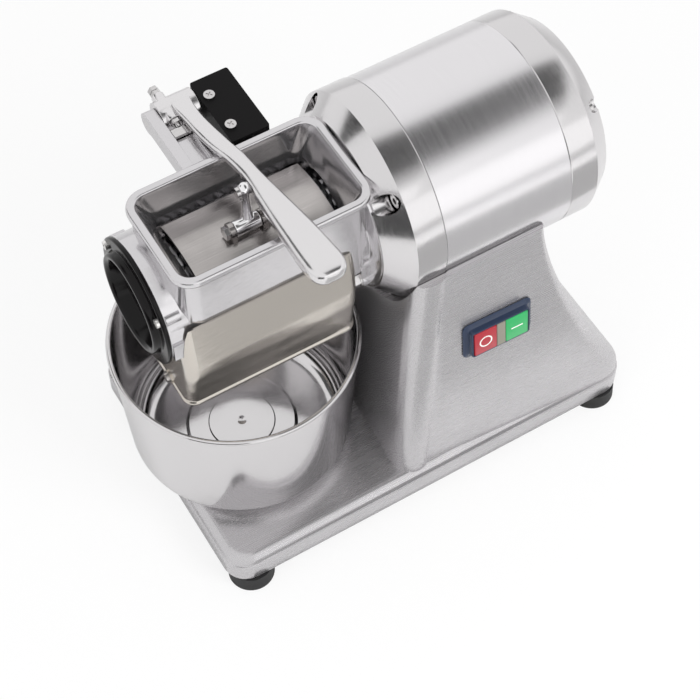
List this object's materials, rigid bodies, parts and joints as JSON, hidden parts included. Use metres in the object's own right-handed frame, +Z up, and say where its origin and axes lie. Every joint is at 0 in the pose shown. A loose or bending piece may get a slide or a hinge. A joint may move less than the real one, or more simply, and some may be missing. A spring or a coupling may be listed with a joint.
{
  "type": "electric cheese grater",
  "caption": "Electric cheese grater with a motor on a cast stand, hopper with lever pusher, rasp drum, chute and bowl.",
  "frame": {"origin": "on the counter under the feet, straight below the drum axis and midway between the bowl's outer edge and the base's far end", "axes": "+X from the grating head towards the motor, along the drum axis; +Y towards the back, where the lever is hinged; +Z up"},
  "size_m": [0.4374, 0.2678, 0.3956],
  "materials": {
    "cast_base": "cast alloy, brushed by hand along the machine and satin",
    "sheet_steel": "stainless sheet, polished",
    "bright_steel": "turned or headed steel, bright zinc or stainless",
    "rubber": "moulded black rubber, matt",
    "polished_aluminium": "cast alloy, polished to a soft mirror",
    "brushed_steel": "rolled stainless sleeve, fine brushed round the motor",
    "laminations": "stacked electrical steel, bare",
    "copper": "enamelled copper coils, tied and varnished",
    "black_plastic": "moulded black plastic, half gloss",
    "white_plastic": "moulded off-white plastic",
    "drum_steel": "stainless drum with raised rasp teeth",
    "navy_plastic": "dark plastic surround under a clear boot",
    "red_plastic": "moulded red push button",
    "green_plastic": "moulded green push button",
    "grey_plastic": "unlit grey lamp window"
  },
  "bodies": {
    "machine": {"base": "cast_base", "bottom_plate": "sheet_steel", "bottom_screws": "bright_steel", "rubber_feet": "rubber", "foot_screws": "bright_steel", "front_shield": "polished_aluminium", "front_shield_screws": "bright_steel", "motor_sleeve": "brushed_steel", "stator_core": "laminations", "stator_windings": "copper", "rear_cover": "polished_aluminium", "rear_cover_screws": "bright_steel", "front_bearing": "bright_steel", "rear_bearing": "bright_steel", "shaft_seal": "rubber", "motor_mount_bolts": "bright_steel", "capacitor": "white_plastic", "capacitor_clip": "sheet_steel", "terminal_block": "white_plastic", "cable_gland": "black_plastic", "head_casting": "polished_aluminium", "head_studs": "bright_steel", "head_nuts": "bright_steel", "end_cap": "black_plastic", "end_cap_screws": "bright_steel", "discharge_chute": "sheet_steel", "chute_screws": "bright_steel", "hinge_pin": "bright_steel", "stop_block": "bright_steel", "interlock_housing": "black_plastic", "interlock_screws": "bright_steel", "interlock_switch": "black_plastic", "button_housing": "navy_plastic", "button_block": "black_plastic", "lamp_window": "grey_plastic"},
    "drum": {"motor_shaft": "bright_steel", "rotor": "laminations", "cooling_fan": "black_plastic", "grating_drum": "drum_steel", "drum_key": "bright_steel", "drum_nut": "bright_steel"},
    "lever": {"lever": "polished_aluminium", "pusher_link": "polished_aluminium", "link_screw": "bright_steel", "stop_screw": "bright_steel", "stop_locknut": "bright_steel"},
    "pusher": {"pusher": "polished_aluminium", "pusher_bolt": "bright_steel", "pusher_nut": "bright_steel"},
    "interlock_pin": {"interlock_pin": "bright_steel"},
    "stop_button": {"stop_button": "red_plastic"},
    "start_button": {"start_button": "green_plastic"},
    "bowl": {"bowl": "sheet_steel"}
  },
  "joints": [
    {"name": "drum_spin", "type": "hinge", "parent": "machine", "child": "drum", "pos_m": [-0.0855, 0, 0.296], "axis": [1, 0, 0], "continuous": true},
    {"name": "lever_hinge", "type": "hinge", "parent": "machine", "child": "lever", "pos_m": [-0.0955, 0.106, 0.356], "axis": [-1, 0, 0], "range_deg": [0, 100]},
    {"name": "pusher_swivel", "type": "hinge", "parent": "lever", "child": "pusher", "pos_m": [-0.0984, -0.014, 0.348], "axis": [1, 0, 0], "range_deg": [-3, 3]},
    {"name": "interlock_slide", "type": "slide", "parent": "machine", "child": "interlock_pin", "axis": [-1, 0, 0], "range_m": [0, 0.002]},
    {"name": "stop_press", "type": "slide", "parent": "machine", "child": "stop_button", "axis": [0.0258, 0.9918, -0.1251], "range_m": [0, 0.003], "stiffness_N_per_m": 500, "springref_m": -0.002},
    {"name": "start_press", "type": "slide", "parent": "machine", "child": "start_button", "axis": [0.0258, 0.9918, -0.1251], "range_m": [0, 0.003], "stiffness_N_per_m": 500, "springref_m": -0.002},
    {"name": "bowl_pull", "type": "slide", "parent": "machine", "child": "bowl", "axis": [-0.1961, -0.9806, 0], "range_m": [0, 0.24]}
  ],
  "couplings": [
    {"joint": "interlock_slide", "follows": "lever_hinge", "m_per_rad": 0.001145}
  ]
}
